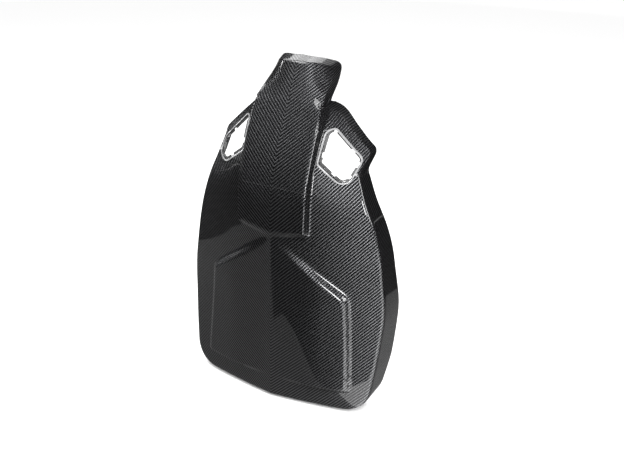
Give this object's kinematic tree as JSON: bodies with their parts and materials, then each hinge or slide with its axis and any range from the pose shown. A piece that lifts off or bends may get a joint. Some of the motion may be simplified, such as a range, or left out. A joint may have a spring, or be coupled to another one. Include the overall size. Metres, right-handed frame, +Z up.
{
  "type": "racing seat back shell",
  "caption": "Carbon-fibre back shell of a racing seat, with a raised spine and lower panel, shoulder openings for a harness, and clip towers and screw tabs inside.",
  "frame": {"origin": "centre of the whole part's box, at its lowest level", "axes": "+Z up along the shell's height, +X to the right as seen from behind the seat, -Y out of the show face and +Y towards the hollow side"},
  "size_m": [0.5026, 0.1785, 0.7848],
  "materials": {
    "carbon_laminate": "twill weave carbon laminate under clear gloss resin",
    "moulded_nylon": "fine moulded grain",
    "spring_steel": "stamped, dark oil finish",
    "zinc_plated_steel": "zinc plated, satin",
    "closed_cell_foam": "matt closed-cell foam"
  },
  "bodies": {
    "root": {"back_shell": "carbon_laminate", "clip_tower_top_left": "moulded_nylon", "spring_clip_top_left": "spring_steel", "clip_tower_upper_left": "moulded_nylon", "spring_clip_upper_left": "spring_steel", "clip_tower_lower_left": "moulded_nylon", "spring_clip_lower_left": "spring_steel", "clip_tower_bottom_left": "moulded_nylon", "spring_clip_bottom_left": "spring_steel", "screw_bracket_left": "zinc_plated_steel", "u_nut_left": "spring_steel", "locating_pin_left": "moulded_nylon", "foam_strip_upper_left": "closed_cell_foam", "foam_strip_lower_left": "closed_cell_foam", "clip_tower_top_right": "moulded_nylon", "spring_clip_top_right": "spring_steel", "clip_tower_upper_right": "moulded_nylon", "spring_clip_upper_right": "spring_steel", "clip_tower_lower_right": "moulded_nylon", "spring_clip_lower_right": "spring_steel", "clip_tower_bottom_right": "moulded_nylon", "spring_clip_bottom_right": "spring_steel", "screw_bracket_right": "zinc_plated_steel", "u_nut_right": "spring_steel", "locating_pin_right": "moulded_nylon", "foam_strip_upper_right": "closed_cell_foam", "foam_strip_lower_right": "closed_cell_foam"}
  },
  "joints": []
}
